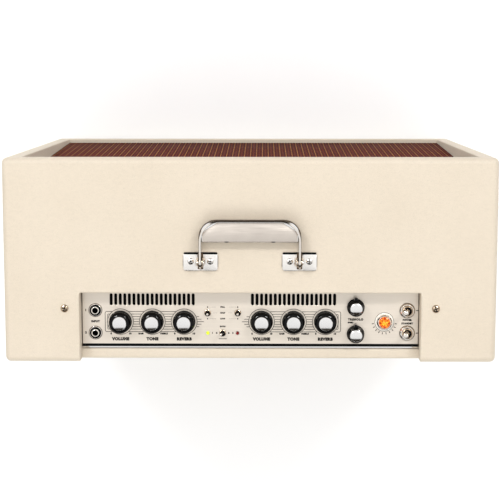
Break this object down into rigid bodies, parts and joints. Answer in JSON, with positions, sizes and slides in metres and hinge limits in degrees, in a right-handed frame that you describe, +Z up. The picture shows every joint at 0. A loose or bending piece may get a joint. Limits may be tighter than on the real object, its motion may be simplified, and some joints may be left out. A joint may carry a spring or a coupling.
{
  "type": "guitar combo amplifier",
  "caption": "Tube guitar combo in a cream vinyl cabinet, with top-rear controls in a notch, a tilted cloth-covered baffle, an open back and a folding metal handle.",
  "frame": {"origin": "on the floor, under the middle of the cabinet", "axes": "+Z up; -Y is the front, with the grille cloth; the controls are read from behind, so the input jacks are at +X"},
  "size_m": [0.534, 0.2226, 0.453],
  "materials": {
    "cream_vinyl": "cream grained vinyl glued over birch plywood",
    "oxblood_cloth": "dark oxblood woven grille cloth with thin gold stripes",
    "black_ply": "plywood painted matt black",
    "rubber": "black rubber, satin",
    "nickel": "polished nickel plate",
    "panel_metal": "satin champagne aluminium with fine brushing and printed lines",
    "zinc_steel": "zinc-plated sheet steel",
    "magnet_iron": "black-painted iron and ferrite",
    "black_gloss": "glossy black moulded plastic, knobs with a bright turned cap",
    "cone_paper": "ribbed black pressed paper",
    "circuit_board": "green glass-fibre laminate",
    "tube_glass": "clear glass envelope on a black base",
    "amber_jewel": "faceted amber lens",
    "green_lens": "domed yellow-green lens",
    "red_lens": "domed dark red lens"
  },
  "bodies": {
    "cabinet": {"top_board": "cream_vinyl", "bottom_board": "cream_vinyl", "side_board_left": "cream_vinyl", "side_board_right": "cream_vinyl", "back_panel_upper": "cream_vinyl", "back_panel_lower": "cream_vinyl", "grille_cloth": "oxblood_cloth", "speaker_baffle": "black_ply", "foot_front_left": "rubber", "foot_front_right": "rubber", "foot_rear_left": "rubber", "foot_rear_right": "rubber", "handle_bracket_left": "nickel", "handle_bracket_right": "nickel", "handle_pin_left": "nickel", "handle_pin_right": "nickel", "chassis_screw_left": "nickel", "chassis_screw_right": "nickel", "pilot_bezel": "nickel", "switch_power": "nickel", "switch_standby": "nickel", "control_panel": "panel_metal", "chassis_tray": "zinc_steel", "speaker_frame": "zinc_steel", "reverb_tank": "zinc_steel", "power_transformer": "zinc_steel", "output_transformer": "zinc_steel", "speaker_magnet": "magnet_iron", "input_jack_1": "black_gloss", "input_jack_2": "black_gloss", "speaker_output_jack": "black_gloss", "mains_inlet": "black_gloss", "control_board": "circuit_board", "main_board": "circuit_board", "power_tube_1": "tube_glass", "power_tube_2": "tube_glass", "preamp_tube_1": "tube_glass", "preamp_tube_2": "tube_glass", "preamp_tube_3": "tube_glass", "pilot_jewel": "amber_jewel", "led_channel_1": "green_lens", "led_channel_2": "red_lens"},
    "knob_volume_1": {"knob_volume_1": "black_gloss"},
    "knob_tone_1": {"knob_tone_1": "black_gloss"},
    "knob_reverb_1": {"knob_reverb_1": "black_gloss"},
    "knob_volume_2": {"knob_volume_2": "black_gloss"},
    "knob_tone_2": {"knob_tone_2": "black_gloss"},
    "knob_reverb_2": {"knob_reverb_2": "black_gloss"},
    "knob_tremolo_depth": {"knob_tremolo_depth": "black_gloss"},
    "knob_tremolo_speed": {"knob_tremolo_speed": "black_gloss"},
    "toggle_power": {"toggle_power": "nickel"},
    "toggle_standby": {"toggle_standby": "nickel"},
    "toggle_level_1": {"toggle_level_1": "nickel"},
    "toggle_level_2": {"toggle_level_2": "nickel"},
    "toggle_channel": {"toggle_channel": "nickel"},
    "handle": {"handle_frame": "nickel", "handle_grip": "nickel"},
    "cone": {"speaker_cone": "cone_paper"}
  },
  "joints": [
    {"name": "handle_swing", "type": "hinge", "parent": "cabinet", "child": "handle", "pos_m": [0, 0.0006, 0.4465], "axis": [-1, 0, 0], "range_deg": [0, 184]},
    {"name": "volume_1_turn", "type": "hinge", "parent": "cabinet", "child": "knob_volume_1", "pos_m": [0.1425, 0.0697, 0.4187], "axis": [0, 0, -1], "range_deg": [-150, 150]},
    {"name": "tone_1_turn", "type": "hinge", "parent": "cabinet", "child": "knob_tone_1", "pos_m": [0.1075, 0.0697, 0.4187], "axis": [0, 0, -1], "range_deg": [-150, 150]},
    {"name": "reverb_1_turn", "type": "hinge", "parent": "cabinet", "child": "knob_reverb_1", "pos_m": [0.0725, 0.0697, 0.4187], "axis": [0, 0, -1], "range_deg": [-150, 150]},
    {"name": "volume_2_turn", "type": "hinge", "parent": "cabinet", "child": "knob_volume_2", "pos_m": [-0.0125, 0.0697, 0.4187], "axis": [0, 0, -1], "range_deg": [-150, 150]},
    {"name": "tone_2_turn", "type": "hinge", "parent": "cabinet", "child": "knob_tone_2", "pos_m": [-0.0475, 0.0697, 0.4187], "axis": [0, 0, -1], "range_deg": [-150, 150]},
    {"name": "reverb_2_turn", "type": "hinge", "parent": "cabinet", "child": "knob_reverb_2", "pos_m": [-0.0825, 0.0697, 0.4187], "axis": [0, 0, -1], "range_deg": [-150, 150]},
    {"name": "tremolo_depth_turn", "type": "hinge", "parent": "cabinet", "child": "knob_tremolo_depth", "pos_m": [-0.1157, 0.0535, 0.4187], "axis": [0, 0, -1], "range_deg": [-150, 150]},
    {"name": "tremolo_speed_turn", "type": "hinge", "parent": "cabinet", "child": "knob_tremolo_speed", "pos_m": [-0.1157, 0.083, 0.4187], "axis": [0, 0, -1], "range_deg": [-150, 150]},
    {"name": "power_throw", "type": "hinge", "parent": "cabinet", "child": "toggle_power", "pos_m": [-0.1722, 0.057, 0.4213], "axis": [0, 1, 0], "range_deg": [-24, 0]},
    {"name": "standby_throw", "type": "hinge", "parent": "cabinet", "child": "toggle_standby", "pos_m": [-0.1722, 0.082, 0.4213], "axis": [0, 1, 0], "range_deg": [-24, 0]},
    {"name": "level_1_throw", "type": "hinge", "parent": "cabinet", "child": "toggle_level_1", "pos_m": [0.0467, 0.0599, 0.4211], "axis": [1, 0, 0], "range_deg": [-12, 12]},
    {"name": "level_2_throw", "type": "hinge", "parent": "cabinet", "child": "toggle_level_2", "pos_m": [0.0137, 0.0599, 0.4211], "axis": [1, 0, 0], "range_deg": [-12, 12]},
    {"name": "channel_throw", "type": "hinge", "parent": "cabinet", "child": "toggle_channel", "pos_m": [0.0302, 0.0823, 0.4211], "axis": [0, 1, 0], "range_deg": [-24, 0]},
    {"name": "cone_travel", "type": "slide", "parent": "cabinet", "child": "cone", "axis": [0, 0.999, -0.0452], "range_m": [-0.0025, 0.0025], "stiffness_N_per_m": 3000}
  ]
}
